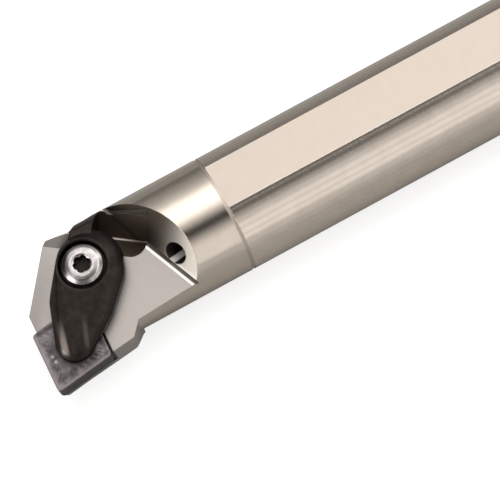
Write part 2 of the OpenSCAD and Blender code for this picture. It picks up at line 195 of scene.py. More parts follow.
def spread(path, step):
    """The same path with extra points, so that none of its legs is longer than a step."""
    out = [path[:1]]
    for a, b in zip(path[:-1], path[1:]):
        n = max(1, int(math.ceil(np.linalg.norm(b - a) / step)))
        out.append(a + (b - a) * (np.arange(1, n + 1) / n)[:, None])
    return np.concatenate(out)


# Insert
def rhombus_outline(per_edge=56, per_corner=14):
    """The insert's outline: an arc of the nose radius at each corner, and evenly spread points on
    the straight edge from each arc's end to the next arc's start."""
    side, front = SIDE_DIR * EDGE, FRONT_DIR * EDGE
    corners = [np.zeros(2), side, side + front, front]
    arcs = [corner_arc(corners[i - 1], corners[i], corners[(i + 1) % 4], NOSE_R, per_corner)
            for i in range(4)]
    s = np.linspace(0, 1, per_edge + 2)[1:-1, None]
    edges = [arc[-1] + (following[0] - arc[-1]) * s for arc, following in zip(arcs, arcs[1:] + arcs[:1])]
    return np.concatenate([part for pair in zip(arcs, edges) for part in pair])


def insert_profile():
    """The insert's section: distance in from the edge against height below the upper face. From the
    hole's rim outwards over the plateau, the moulded chip groove and the land to the honed edge,
    down the side, back in on the lower face, and up the hole."""
    rim_drop = 0.6
    rim = INSERT_IC / 2 - INSERT_HOLE_R
    face_step, side_step, hole_rows = 0.28, 0.4, 10
    top = rounded_path(
        [(rim, -rim_drop), (rim - 0.35, 0.0), (2.35, 0.0), (1.5, -0.2),
         (1.1, -0.2), (0.35, -0.03), (0.0, 0.0), (0.0, -1.0)],
        [0.25, 0.8, 0.6, 0.6, 0.4, 0.07], steps=7)
    top = spread(top, face_step)
    lower = np.stack([top[::-1, 0], -INSERT_T - top[::-1, 1]], -1)
    side = spread(np.stack([top[-1], lower[0]]), side_step)[1:-1]
    hole_heights = np.linspace(-INSERT_T + rim_drop, -rim_drop, hole_rows + 2)[1:-1]
    hole = np.stack([np.full(len(hole_heights), rim), hole_heights], -1)
    return np.concatenate([top, side, lower, hole])


def make_insert():
    """The outline drawn in towards its middle, row by row of the section. Between the plateau's
    edge and the hole the rows pass by a smooth step from the rhombus to a circle. The inner slope
    of the chip groove carries low waves: a squared, raised cosine along the outline, times a bell
    curve across the groove."""
    outline = rhombus_outline()
    from_mid = outline - INSERT_MID
    angle = np.arctan2(from_mid[:, 1], from_mid[:, 0])
    profile = insert_profile()
    inset, height = profile[:, :1], profile[:, 1:]
    half_ic = INSERT_IC / 2
    rhombus = from_mid[None] * (1 - inset / half_ic)[..., None]
    circle = np.stack([np.cos(angle), np.sin(angle)], -1)[None] * (half_ic - inset)[..., None]
    square_in, round_in = 2.3, half_ic - INSERT_HOLE_R - 0.4
    rounding = smooth((inset - square_in) / (round_in - square_in))[..., None]
    xy = INSERT_MID + rhombus * (1 - rounding) + circle * rounding
    wave_height, waves, groove_in, groove_w = 0.1, 32, 1.55, 0.4
    phase = np.linspace(0, 2 * math.pi * waves, len(outline), endpoint=False)
    wave = wave_height * (0.5 + 0.5 * np.cos(phase))[None] ** 2
    across = np.exp(-((inset - groove_in) / groove_w) ** 2)
    face = np.where(height > -INSERT_T / 2, 1.0, -1.0)
    near_face = (height > -0.5) | (height < -INSERT_T + 0.5)
    z = height + across * wave * face * near_face
    return surface("insert_with_chip_groove", from_seat(np.dstack([xy, z])))


# Clamp screw
def make_clamp_screw():
    """A profile turned about the screw's axis. In the socket the radius follows six round lobes,
    r · (1 + 0.12 cos 6a − 0.028 cos 12a), and passes to a circle at the rim and at the middle. On the
    shank a triangle wave of height / pitch + turn is added to the radius, which makes the thread's
    helix and fades at both ends."""
    seat_h, head_h, head_r, length, pitch = 1.4, 2.5, 4.2, 15.0, 0.8
    thread_r, thread_depth, around = 2.24, 0.5, 120
    top, low = seat_h + head_h, seat_h - length
    floor = top - 1.8
    angle = np.linspace(0, 2 * math.pi, around, endpoint=False)[None]
    socket = np.array([
        (0.35, floor), (0.8, floor), (1.2, floor), (1.52, floor + 0.02), (1.6, floor + 0.12),
        (1.62, top - 1.2), (1.64, top - 0.7), (1.66, top - 0.32), (1.72, top - 0.16), (1.85, top - 0.06),
    ])
    head = rounded_path(
        [socket[-1], (2.1, top), (2.6, top - 0.02), (3.4, top - 0.2), (head_r, top - 0.8),
         (head_r, seat_h), (2.5, seat_h)],
        [0.15, 1.2, 1.4, 0.25, 0.15], steps=9)[1:]
    neck = np.array([(2.5, seat_h - 0.5)])
    thread_top = seat_h - 0.6
    thread_z = np.arange(thread_top, low + 0.5, -pitch / 10)
    thread = np.stack([np.full(len(thread_z), thread_r), thread_z], -1)
    tip = np.array([(2.0, low), (1.2, low), (0.5, low)])
    profile = np.concatenate([socket, spread(head, 0.25), neck, thread, tip])
    r, z = profile[:, :1], profile[:, 1:]
    row = np.arange(len(profile))[:, None]
    lobed = r * (1 + 0.12 * np.cos(6 * angle) - 0.028 * np.cos(12 * angle))
    to_rim = 1 - smooth((z - (top - 0.34)) / 0.3)
    in_socket = np.where(row < len(socket), np.where(r < 1.3, smooth(r / 1.3), to_rim), 0)
    radius = r + (lobed - r) * in_socket
    thread_end = len(profile) - len(tip)
    on_thread = (row >= thread_end - len(thread)) & (row < thread_end)
    turn = (z / pitch + angle / (2 * math.pi)) % 1
    fade = smooth((thread_top - z) / 0.8) * smooth((z - low - 0.3) / 0.8)
    radius = radius + np.where(on_thread, (np.abs(turn - 0.5) * 2 - 0.5) * thread_depth * fade, 0)
    xyz = np.dstack([radius * np.cos(angle), radius * np.sin(angle), np.broadcast_to(z, radius.shape)])
    poles = [from_clamp(np.array([0.0, 0.0, pole_z])) for pole_z in (floor - 0.05, low)]
    return surface("clamp_screw_turned", from_clamp(xyz), poles)


# Spring, between these two heights in the seat's frame
SPRING_LOW, SPRING_HIGH = DECK_Z - 2.7, DECK_Z + 0.65


def make_spring():
    """A round wire carried along a helix. Its height is half the share of the turns and half that
    share's smooth step, so that the end turns lie nearly flat, as on a closed spring. The wire
    tapers to half at its ends, each of which closes on a point."""
    wire_r, coil_r, turns = 0.25, 2.9, 4.0
    steps, around = 260, 14
    low, high = SPRING_LOW, SPRING_HIGH
    t = np.linspace(0, 1, steps)[:, None]
    along = 2 * math.pi * turns * t
    z = low + (high - low) * (0.5 * t + 0.5 * smooth(t))
    round_wire = np.linspace(0, 2 * math.pi, around, endpoint=False)[None]
    section_r = wire_r * np.minimum(1, np.minimum(t, 1 - t) * 120 + 0.5)
    r = coil_r + section_r * np.cos(round_wire)
    xyz = np.dstack([r * np.cos(along), r * np.sin(along), z + section_r * np.sin(round_wire)])
    ends = [from_clamp(np.array([coil_r * math.cos(a), coil_r * math.sin(a), end_z]))
            for a, end_z in ((0.0, low), (2 * math.pi * turns, high))]
    return surface("lift_spring_wire", from_clamp(xyz), ends)


# Clamp
def softened_copy(node, name, voxel, rounds):
    """The node's solid made again on a fine grid and relaxed a number of rounds, so that its edges
    are rounded as the forged and ground original's are."""
    same_place = 0.002
    obj = in_scene(name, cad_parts[node].data.copy())
    merged = bmesh.new()
    merged.from_mesh(obj.data)
    bmesh.ops.remove_doubles(merged, verts=merged.verts, dist=same_place * MM)
    merged.to_mesh(obj.data)
    merged.free()
    remesh = obj.modifiers.new("grid", "REMESH")
    remesh.mode, remesh.voxel_size, remesh.use_smooth_shade = "VOXEL", voxel * MM, True
    relax = obj.modifiers.new("relax", "SMOOTH")
    relax.factor, relax.iterations = 0.5, rounds
    shaped = bpy.data.meshes.new_from_object(obj.evaluated_get(bpy.context.evaluated_depsgraph_get()))
    obj.modifiers.clear()
    obj.data = shaped
    shaped.polygons.foreach_set("use_smooth", np.ones(len(shaped.polygons), bool))
    return obj


# Shader maths
def overload(operation, swapped=False):
    """A method that adds one Math node. The reflected form of an operator swaps its two sides."""
    def method(self, other):
        return self.math(operation, other, self) if swapped else self.math(operation, self, other)
    return method


class Value:
    """An output of a node tree. Arithmetic on it adds Math nodes; node() adds any other node."""

    def __init__(self, tree, out=None):
        self.tree, self.out = tree, out

    def node(self, kind, settings=None, inputs=None, out=0):
        """Adds a node of a type: its settings first (a ramp's stops too), then its inputs."""
        new = self.tree.nodes.new(kind)
        for key, value in (settings or {}).items():
            if key == "stops":
                ramp = new.color_ramp
                while len(ramp.elements) < len(value):
                    ramp.elements.new(1.0)
                for element, (place, colour) in zip(ramp.elements, value):
                    element.position, element.color = place, colour
            else:
                setattr(new, key, value)
        for key, value in (inputs or {}).items():
            self.feed(new.inputs[key], value)
        return Value(self.tree, new.outputs[out])

    def feed(self, socket, value):
        """Gives an input a link from a Value, or else the plain value itself."""
        if isinstance(value, Value):
            self.tree.links.new(value.out, socket)
        else:
            socket.default_value = value

    def math(self, operation, a, b=0.0):
        """A Math node. Where the operation takes one number, b isn't used."""
        return self.node("ShaderNodeMath", {"operation": operation}, {0: a, 1: b})

    __add__, __radd__ = overload("ADD"), overload("ADD", swapped=True)
    __sub__, __rsub__ = overload("SUBTRACT"), overload("SUBTRACT", swapped=True)
    __mul__, __rmul__ = overload("MULTIPLY"), overload("MULTIPLY", swapped=True)
    __truediv__, __pow__ = overload("DIVIDE"), overload("POWER")

    def __neg__(self):
        return self.math("MULTIPLY", self, -1.0)

    def __abs__(self):
        return self.math("ABSOLUTE", self)

    def step(self, low, high):
        """Smooth step of this value from low to high, 0 to 1."""
        return self.node("ShaderNodeMapRange", {"interpolation_type": "SMOOTHSTEP"},
                         {"Value": self, "From Min": low, "From Max": high})

    def band(self, middle, inner, outer):
        """1 within an inner distance of the middle, falling smoothly to 0 at the outer distance."""
        return 1 - abs(self - middle).step(inner, outer)

    def mix(self, factor, a, b):
        """Mix of two colours."""
        return self.node("ShaderNodeMix", {"data_type": "RGBA"}, {0: factor, 6: a, 7: b}, out=2)

    def vector(self, operation, a, b, out=0):
        """A Vector Math node on two vectors. An operation that gives a number has it on output 1."""
        return self.node("ShaderNodeVectorMath", {"operation": operation}, {0: a, 1: b}, out)

    def axes(self, vector):
        """The three numbers of a vector."""
        split = self.node("ShaderNodeSeparateXYZ", {}, {0: vector})
        return [Value(self.tree, socket) for socket in split.out.node.outputs]

    def length(self, vector):
        """The length of a vector."""
        return self.node("ShaderNodeVectorMath", {"operation": "LENGTH"}, {0: vector}, out=1)

    def noise(self, place, scale, detail=3.0, roughness=0.55, squeeze=(1, 1, 1)):
        """Noise over a place in millimetres, 0 to 1, with its grain squeezed along the axes."""
        return self.node("ShaderNodeTexNoise", {}, {
            "Vector": self.vector("MULTIPLY", place, squeeze),
            "Scale": scale, "Detail": detail, "Roughness": roughness})

    def offset(self, place, point):
        """The vector from a fixed point to a place, both in millimetres."""
        return self.vector("SUBTRACT", place, tuple(point))

    def along(self, place, way, point):
        """How far a place lies from a fixed point along a direction: offset · way."""
        return self.vector("DOT_PRODUCT", self.offset(place, point), tuple(way), out=1)

    def facing(self, way, normal="Normal"):
        """How far the surface faces a direction: 1 square to it, 0 edge on."""
        out = self.node("ShaderNodeNewGeometry", out=normal)
        return self.vector("DOT_PRODUCT", out, tuple(way), out=1)


def material(name, finish):
    """A material whose finish function gets a Value to make nodes with and the place in
    millimetres, and returns the shader's inputs."""
    mat = bpy.data.materials.new(name)
    mat.use_nodes = True
    shader = mat.node_tree.nodes["Principled BSDF"]
    nodes = Value(mat.node_tree)
    place = nodes.node("ShaderNodeTexCoord", out="Object")
    place = nodes.node("ShaderNodeVectorMath", {"operation": "SCALE"}, {0: place, "Scale": 1 / MM})
    for key, value in finish(nodes, place).items():
        nodes.feed(shader.inputs[key], value)
    return mat


def bump(nodes, height, rounding=None):
    """Relief of a height in millimetres, over edges rounded by a radius if one is given."""
    inputs = {"Height": height, "Strength": 1.0, "Distance": MM}
    if rounding:
        inputs["Normal"] = nodes.node("ShaderNodeBevel", {"samples": 4}, {"Radius": rounding * MM})
    return nodes.node("ShaderNodeBump", {}, inputs)


def rgb(r, g, b):
    """A colour given as 0 to 255 in sRGB, in the shader's linear terms."""
    return (*(((c / 255 + 0.055) / 1.055) ** 2.4 if c > 10 else c / 255 / 12.92 for c in (r, g, b)), 1.0)


def grey(level):
    """A colour without a hue, in linear terms."""
    return (level, level, level, 1.0)


# Places and directions on the head that the finishes refer to
def seat_way(x, y, z=0.0):
    """A direction of the seat's frame, in the bar's frame."""
    return SEAT @ np.array([x, y, z])


def seat_place(x, y, z=0.0):
    """A point of the seat's frame, in the bar's frame."""
    return from_seat(np.array([x, y, z]))


# The back wall: its turn, its lean and its distance behind the cutting corner. Its foot on the deck,
# the way it faces, the same way laid flat on the deck, and the way along its foot to the cutting side
WALL_TURN, WALL_LEAN, WALL_BEHIND = math.radians(19.5), math.radians(40.4), 34.15
WALL_COS, WALL_SIN = math.cos(WALL_TURN), math.sin(WALL_TURN)
WALL_FOOT = seat_place(-WALL_BEHIND * WALL_COS, -WALL_BEHIND * WALL_SIN, DECK_Z)
WALL_OUT = seat_way(math.cos(WALL_LEAN) * WALL_COS, math.cos(WALL_LEAN) * WALL_SIN, math.sin(WALL_LEAN))
WALL_FLAT = seat_way(WALL_COS, WALL_SIN)
WALL_ALONG = seat_way(-WALL_SIN, WALL_COS)

# The insert's middle, the ways out to the seat's rear wall and to its wall across the bar, and two painted
# glints, bright spots on the coating, in the seat's frame
INSERT_AT = seat_place(*INSERT_MID)
REAR_WALL = seat_way(FRONT_DIR[1], -FRONT_DIR[0])
SIDE_WALL = seat_way(-SIDE_DIR[1], SIDE_DIR[0])
PAINTED_GLINTS = [(-2.51, -6.98, -0.1), (-2.6, -5.72, -0.1)]

# The clamp's screw, the ways ahead to its nose and beside it, and the middle of the nose
CLAMP_AT = from_clamp(np.zeros(3))
CLAMP_AHEAD = seat_way(math.cos(CLAMP_TURN), math.sin(CLAMP_TURN))
CLAMP_BESIDE = seat_way(-math.sin(CLAMP_TURN), math.cos(CLAMP_TURN))
NOSE_AT = from_clamp(np.array([CLAMP_REACH - 0.5, 0.75, 0]))

# The coolant: where the straight hole to the outlet leaves the bar's axis, and where the outlet's painted
# shade takes over from the bore's. The outlet's mouth, the hole's axis, and the ways square to it, down to
# the deck and across
OUTLET_FROM_X, OUTLET_DARK_X = 146.5, 153.5
OUTLET_R = 2.4
OUTLET = seat_place(-WALL_BEHIND * WALL_COS - 2.2, -WALL_BEHIND * WALL_SIN - 0.67, DECK_Z + 2.19)
OUTLET_WAY = unit(OUTLET - np.array([OUTLET_FROM_X, 0, 0]))
OUTLET_DOWN = unit(OUTLET_WAY * (SEAT_Z @ OUTLET_WAY) - SEAT_Z)
OUTLET_ACROSS = np.cross(OUTLET_WAY, OUTLET_DOWN)


# Finishes of the bar
def bar_zones(nodes, x, y, z, radius):
    """The bar's three surfaces that aren't the plain ground shank: the turned neck and the milled
    rest of the head, both ahead of the ring, and the shank's flats. A turned surface lies at the
    shank's radius and faces out: (normal · place) / radius, both without their x."""
    _, out_y, out_z = nodes.axes(nodes.node("ShaderNodeNewGeometry", out="True Normal"))
    head = x.step(RING_X + 0.3, RING_X + 0.6)
    turned = radius.step(SHANK_R - 0.14, SHANK_R - 0.06) * (1 - radius.step(SHANK_R + 0.04, SHANK_R + 0.1))
    turned = turned * ((out_y * y + out_z * z) / radius).step(0.9, 0.97)
    flat = (1 - head) * (1 - radius.step(SHANK_R - 0.04, SHANK_R - 0.01))
    flat = flat * radius.step(FLAT_R - 0.15, FLAT_R - 0.05)
    return head * turned, head * (1 - turned), flat


def head_painted_shade(nodes, place, milled, wall, height):
    """Painted shade on the milled head: on the back wall, thinning towards the cutting side by 1 − step ^
    2.2, and in the pocket behind the clamp, below the deck."""
    wall_shade = wall * (1 - nodes.along(place, WALL_ALONG, WALL_FOOT).step(-9.4, 4.2) ** 2.2)
    level = nodes.facing(SEAT_Z, "True Normal")
    behind = -nodes.along(place, CLAMP_AHEAD, CLAMP_AT)
    beside = nodes.along(place, CLAMP_BESIDE, CLAMP_AT)
    reach = beside.step(-7.5, -4.5) * level.step(0.3, 0.6)
    reach = reach + (1 - reach) * beside.step(-4.0, 0.0)
    pocket = milled * behind.step(3.6, 3.9) * (1 - height.step(-0.08, -0.03)) * reach
    pocket = pocket * (1 - level.step(0.9, 0.98) * (1 - beside.step(5.0, 9.0)))
    return wall_shade, pocket


def head_lines(nodes, place, milled, wall, height):
    """Thin painted lines of the milled head: painted highlights on the rims on both sides of the groove
    along the back wall's foot, painted shade in that groove, and painted shade in the gap between the
    insert and its nest."""
    ahead = nodes.along(place, WALL_FLAT, WALL_FOOT)
    along = nodes.along(place, WALL_ALONG, WALL_FOOT)
    # Painted highlights on the rims beside the groove and along the wall
    rim = milled * ahead.band(0.5, 0.24, 0.36) * height.band(0.0, 0.05, 0.12)
    rim = rim + wall * height.band(0.82, 0.2, 0.32) * along.step(-1.5, 1.0)
    # Painted shade in the groove at the wall's foot
    groove = milled * ahead.band(-0.15, 0.35, 0.41) * (1 - height.step(-0.1, 0.4))
    # Painted shade in the gap round the insert, on the deck and the nest's walls
    out = nodes.math("MAXIMUM", nodes.along(place, REAR_WALL, INSERT_AT),
                     nodes.along(place, SIDE_WALL, INSERT_AT))
    gap = milled * (1 - out.step(6.9, 6.98)) * (1 - height.step(-0.1, -0.04)) * height.step(-6.4, -6.32)
    return rim, groove * (1 - rim), gap


def outlet_bore(nodes, place, behind_wall):
    """Painted shade in the coolant outlet's bore behind the back wall, and a painted reflection in it: a
    bright strip, not metallic.
    """
    down, across = nodes.along(place, OUTLET_DOWN, OUTLET), nodes.along(place, OUTLET_ACROSS, OUTLET)
    from_axis = (down * down + across * across) ** 0.5
    bore = (1 - from_axis.step(OUTLET_R + 0.05, OUTLET_R + 0.2)) * behind_wall
    # A painted reflection: a bright strip in the bore
    strip = bore * across.band(0.1, 0.45, 0.85) * down.step(0.2, 0.8)
    return bore * (1 - strip), strip


def port_thread(nodes, x, y, z, radius):
    """The thread's relief in the coolant port, 0 to 1: a triangle wave of x / pitch + turn."""
    in_port = 1 - x.step(PORT_DEPTH - 0.4, PORT_DEPTH + 0.2)
    on_wall = (1 - radius.step(4.5, 4.9)) * radius.step(4.0, 4.2)
    turn = nodes.math("ARCTAN2", y, z) / (2 * math.pi)
    return in_port * on_wall * (abs(nodes.math("FRACT", x / PORT_PITCH + turn) - 0.5) * 2.0)


def bar_steel(nodes, place):
    """Satin plated steel: ground shank with fine rings, duller flats, a brighter neck, and a matt milled
    head with the cutter's paths. On the head are painted light and shade: a back wall painted lighter,
    painted shade on that wall's far side, in its pocket, in the groove at its foot, round the insert and
    in the bores, painted highlights on the groove's rims, and a painted reflection in the outlet."""
    x, y, z = nodes.axes(place)
    radius = (y * y + z * z) ** 0.5
    neck, milled, flat = bar_zones(nodes, x, y, z, radius)
    height = nodes.along(place, SEAT_Z, TIP) - DECK_Z
    from_wall = nodes.along(place, WALL_OUT, WALL_FOOT)
    wall = milled * (1 - abs(from_wall).step(0.02, 0.1)) * height.step(0.1, 0.3)
    wall_shade, pocket = head_painted_shade(nodes, place, milled, wall, height)
    rim, groove, gap = head_lines(nodes, place, milled, wall, height)
    beside = nodes.along(place, CLAMP_BESIDE, CLAMP_AT)
    shade = milled * (1 - beside.step(-8.5, -5.5)) * x.step(182.0, 202.0) * (1 - wall)
    ahead = x.step(OUTLET_DARK_X - 0.5, OUTLET_DARK_X + 0.5)
    # Painted shade inside the coolant bore and its port
    bore = (1 - radius.step(PORT_R + 0.065, PORT_R + 0.215)) * (1 - ahead)
    outlet, strip = outlet_bore(nodes, place, (1 - from_wall.step(-0.12, -0.03)) * ahead)

    broad = nodes.noise(place, 0.35, 4.0)
    fine = nodes.noise(place, 6.0, 2.0)
    rings = nodes.noise(place, 1.0, 3.0, 0.6, squeeze=(9.0, 0.12, 0.12))
    paths = nodes.noise(place, 1.0, 2.0, 0.5, squeeze=(0.5, 6.0, 6.0))

    colour = nodes.mix(broad.step(0.3, 0.7), rgb(225, 212, 198), rgb(231, 218, 204))
    milled_colour = nodes.mix(fine.step(0.3, 0.7), rgb(182, 174, 168), rgb(191, 183, 177))
    for share, over in (
            (neck * 0.3, rgb(190, 178, 165)),
            (flat * 0.7, rgb(189, 176, 164)),
            (milled, milled_colour),
            # The back wall is painted lighter than the milled deck: painted light for the bright light it
            # mirrors
            (wall, rgb(236, 227, 216)),
            # Painted shade: the back wall's far side and the pocket behind the clamp
            (wall_shade * 0.965, rgb(58, 49, 39)),
            (pocket * 0.93, rgb(108, 95, 82)),
            # Painted shade in the groove, and painted highlights on its rims
            (groove * 0.75, rgb(90, 82, 75)),
            (rim, rgb(250, 246, 240)),
            (shade * 0.5, rgb(120, 114, 110)),
            # Painted shade in the gap round the insert
            (gap * 0.85, rgb(46, 40, 36)),
            # Painted shade in the coolant bore and port
            (bore * 0.6, rgb(120, 112, 104)),
            # Painted shade in the outlet's bore, and a painted reflection as a bright strip in it
            (outlet * 0.9, rgb(46, 39, 33)),
            (strip, rgb(246, 241, 234))):
        colour = nodes.mix(share, colour, over)
    rough = (0.2 + (fine - 0.5) * 0.05 + (rings - 0.5) * 0.07
             - 0.03 * neck + 0.31 * milled - 0.15 * wall + 0.24 * flat)
    relief = (rings * 0.003 * (1 - milled) * (1 - 0.5 * neck) + milled * paths * 0.003
              + fine * 0.0006 + port_thread(nodes, x, y, z, radius) * 0.3)
    return {"Base Color": colour, "Metallic": 1 - strip, "Roughness": rough,
            "Normal": bump(nodes, relief, rounding=0.22)}


# Finishes of the loose parts
def clamp_black(nodes, place):
    """Black oxide on ground steel: brown-black, with painted shade on its sides and its tail, and two
    painted highlights as streaks along the nose, one strong and one faint."""
    grain = nodes.noise(place, 0.5, 5.0, 0.6)
    fine = nodes.noise(place, 9.0, 3.0, 0.6)
    ahead = nodes.along(place, CLAMP_AHEAD, CLAMP_AT)
    beside = nodes.along(place, CLAMP_BESIDE, CLAMP_AT)
    # Painted shade: the sides, by how far they turn from the seat's plane, and the tail
    sides = 1 - nodes.facing(SEAT_Z).step(0.5, 0.8)
    tail = 1 - ahead.step(-6.0, -3.5)
    # Two painted highlights: streaks along the nose's bevels, one strong and one faint
    painted_nose_highlight = (beside - ahead * 0.383).band(-7.45, 0.3, 1.1)
    painted_nose_highlight = painted_nose_highlight * ahead.step(11.0, 16.5) * (1 - ahead.step(17.6, 18.8))
    faint_painted_highlight = (beside - ahead * 0.25).band(-0.5, 0.2, 0.7)
    faint_painted_highlight = faint_painted_highlight * ahead.step(10.0, 13.0) * (1 - ahead.step(15.5, 17.0))
    colour = nodes.mix(grain.step(0.35, 0.75), rgb(41, 34, 30), rgb(56, 48, 44))
    dark = rgb(20, 16, 13)
    # Painted shade on the sides, then on the tail
    colour = nodes.mix(sides * 0.85, colour, dark)
    colour = nodes.mix(painted_nose_highlight + faint_painted_highlight * 0.2, colour, rgb(150, 137, 130))
    colour = nodes.mix(tail * 0.25, colour, dark)
    rough = 0.42 + (fine - 0.5) * 0.14 - painted_nose_highlight * 0.08
    return {"Base Color": colour, "Metallic": 0.8, "Roughness": rough,
            "Normal": bump(nodes, fine * 0.004 + grain * 0.01)}


def screw_steel(nodes, place):
    """Bright steel, scuffed by the key and by chips, with painted shade in its socket. The distance from
    the screw's axis is the length of the cross product of offset and axis."""
    scuff = nodes.noise(place, 0.9, 3.0, 0.6)
    fine = nodes.noise(place, 14.0, 2.0)
    height = nodes.along(place, SEAT_Z, TIP)
    from_axis = nodes.length(nodes.vector("CROSS_PRODUCT", nodes.offset(place, CLAMP_AT), tuple(SEAT_Z)))
    # Painted shade in the socket
    socket = (1 - from_axis.step(1.75, 1.95)) * (1 - height.step(3.5, 3.8)) * height.step(1.9, 2.0)
    colour = nodes.mix(scuff.step(0.4, 0.75), rgb(188, 182, 179), rgb(159, 153, 150))
    colour = nodes.mix(socket * 0.97, colour, rgb(40, 36, 32))
    return {"Base Color": colour, "Metallic": 1.0, "Roughness": 0.2 + scuff * 0.12 + socket * 0.3,
            "Normal": bump(nodes, scuff * 0.008 + fine * 0.002)}


def insert_coating(nodes, place):
    """Grey-purple coating over sintered carbide: mottled, lighter on the land along the edges, with a
    painted shadow round the clamp's nose, painted shade on the sides, darker towards their foot, and two
    painted glints."""
    mottle = nodes.noise(place, 0.55, 5.0, 0.6)
    grains = nodes.noise(place, 12.0, 2.0)
    height = nodes.along(place, SEAT_Z, TIP)
    face = height.step(-0.5, -0.25)
    # Painted shadow of the clamp's nose
    by_nose = 1 - nodes.length(nodes.offset(place, NOSE_AT)).step(4.0, 6.2)
    out = nodes.math("MAXIMUM", -nodes.along(place, REAR_WALL, INSERT_AT),
                     -nodes.along(place, SIDE_WALL, INSERT_AT))
    colour = nodes.mix(mottle.step(0.3, 0.7), rgb(85, 77, 77), rgb(133, 125, 127))
    colour = nodes.mix(by_nose * face * 0.6, colour, rgb(58, 51, 49))
    colour = nodes.mix(face * out.step(5.5, 5.9) * 0.55, colour, rgb(139, 130, 128))
    # Painted shade on the sides, darker towards their foot
    side_colour = nodes.mix(height.step(-4.0, -0.5), rgb(36, 29, 24), rgb(52, 45, 40))
    colour = nodes.mix((1 - face) * 0.7, colour, side_colour)
    # Two painted glints, small bright spots on the coating
    glint_share = 0.0
    for chip in PAINTED_GLINTS:
        glint_share = glint_share + (1 - nodes.length(nodes.offset(place, seat_place(*chip))).step(0.1, 0.5))
    colour = nodes.mix(glint_share * 0.75, colour, rgb(222, 214, 212))
    return {"Base Color": colour, "Metallic": 0.75, "Roughness": 0.4 + (mottle - 0.5) * 0.14,
            "Normal": bump(nodes, grains * 0.006 + mottle * 0.006)}


def ground_carbide(nodes, place):
    """Ground carbide: grey, with fine grinding lines one way."""
    lines = nodes.noise(place, 1.0, 2.0, 0.5, squeeze=(14.0, 1.0, 1.0))
    tone = nodes.noise(place, 0.8, 3.0)
    colour = nodes.mix(tone.step(0.3, 0.7), rgb(128, 126, 126), rgb(150, 148, 147))
    return {"Base Color": colour, "Metallic": 0.9, "Roughness": 0.34 + (lines - 0.5) * 0.12,
            "Normal": bump(nodes, lines * 0.002)}


def dark_screw_steel(nodes, place):
    """Black oxide on a screw, rubbed in patches."""
    tone = nodes.noise(place, 1.5, 4.0)
    colour = nodes.mix(tone.step(0.3, 0.7), rgb(52, 50, 50), rgb(84, 81, 80))
    return {"Base Color": colour, "Metallic": 0.7, "Roughness": 0.36 + (tone - 0.5) * 0.15,
            "Normal": bump(nodes, tone * 0.006)}


def spring_wire(nodes, place):
    """Drawn spring wire, slightly uneven."""
    tone = nodes.noise(place, 3.0, 3.0)
    colour = nodes.mix(tone.step(0.3, 0.7), rgb(150, 148, 147), rgb(186, 184, 182))
    return {"Base Color": colour, "Metallic": 1.0, "Roughness": 0.3 + (tone - 0.5) * 0.12,
            "Normal": bump(nodes, tone * 0.004)}


# Pieces
def dress(obj, mat):
    """Gives a piece its one material."""
    obj.data.materials.clear()
    obj.data.materials.append(mat)


def dress_node(node, mat):
    """Assigns a material to a CAD node's slots and leaves its mesh alone."""
    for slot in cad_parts[node].material_slots:
        slot.material = mat


dress_node("bar", material("satin_bar_steel", bar_steel))
dress_node("shim", material("ground_carbide", ground_carbide))
dress_node("shim_screw", material("dark_screw_steel", dark_screw_steel))

insert = make_insert()
dress(insert, material("insert_coating", insert_coating))
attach(insert, "bar")
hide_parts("insert")

clamp = softened_copy("clamp", "lever_clamp", voxel=0.15, rounds=14)
dress(clamp, material("clamp_black", clamp_black))
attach(clamp, "clamp")
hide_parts("clamp")

screw = make_clamp_screw()
dress(screw, material("screw_steel", screw_steel))
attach(screw, "clamp_screw")
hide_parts("clamp_screw")

spring = make_spring()
dress(spring, material("spring_wire", spring_wire))
spring_span = from_clamp(np.array([[0.0, 0.0, SPRING_LOW], [0.0, 0.0, SPRING_HIGH]])) * MM
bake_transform(spring)
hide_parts("clamp_spring")


# Floor
def pale_floor():
    """A matt pale floor that keeps the object's shadow, lighter on the cutting side and darker on
    the far side. To the camera it also glows, more on the far side, so that it shows as white, and
    ahead of the bar most of that glow shows in the metal too."""
    mat = bpy.data.materials.new("pale_floor")
    mat.use_nodes = True
    nodes = Value(mat.node_tree)
    shader = mat.node_tree.nodes["Principled BSDF"]
    shader.inputs["Roughness"].default_value = 1.0
    shader.inputs["Specular IOR Level"].default_value = 0.0
    x, y, _ = nodes.axes(nodes.node("ShaderNodeTexCoord", out="Object"))
    far_side = 1 - y.step(-0.07, -0.03)
    colour = nodes.mix(y.step(0.03, 0.1), (0.41, 0.41, 0.4, 1), (0.58, 0.58, 0.57, 1))
    nodes.feed(shader.inputs["Base Color"], nodes.mix(far_side, colour, (0.32, 0.32, 0.31, 1)))
    matt = Value(mat.node_tree, shader.outputs[0])
    glow = nodes.node("ShaderNodeEmission", {}, {"Color": nodes.mix(far_side, grey(0.76), grey(0.91))})
    glowing = nodes.node("ShaderNodeAddShader", {}, {0: matt, 1: glow})
    seen = nodes.node("ShaderNodeLightPath", out="Is Camera Ray")
    seen = seen + nodes.node("ShaderNodeLightPath", out="Is Glossy Ray") * x.step(0.215, 0.25) * 0.85
    end = nodes.node("ShaderNodeMixShader", {}, {0: seen, 1: matt, 2: glowing})
    nodes.feed(mat.node_tree.nodes["Material Output"].inputs[0], end)
    return mat


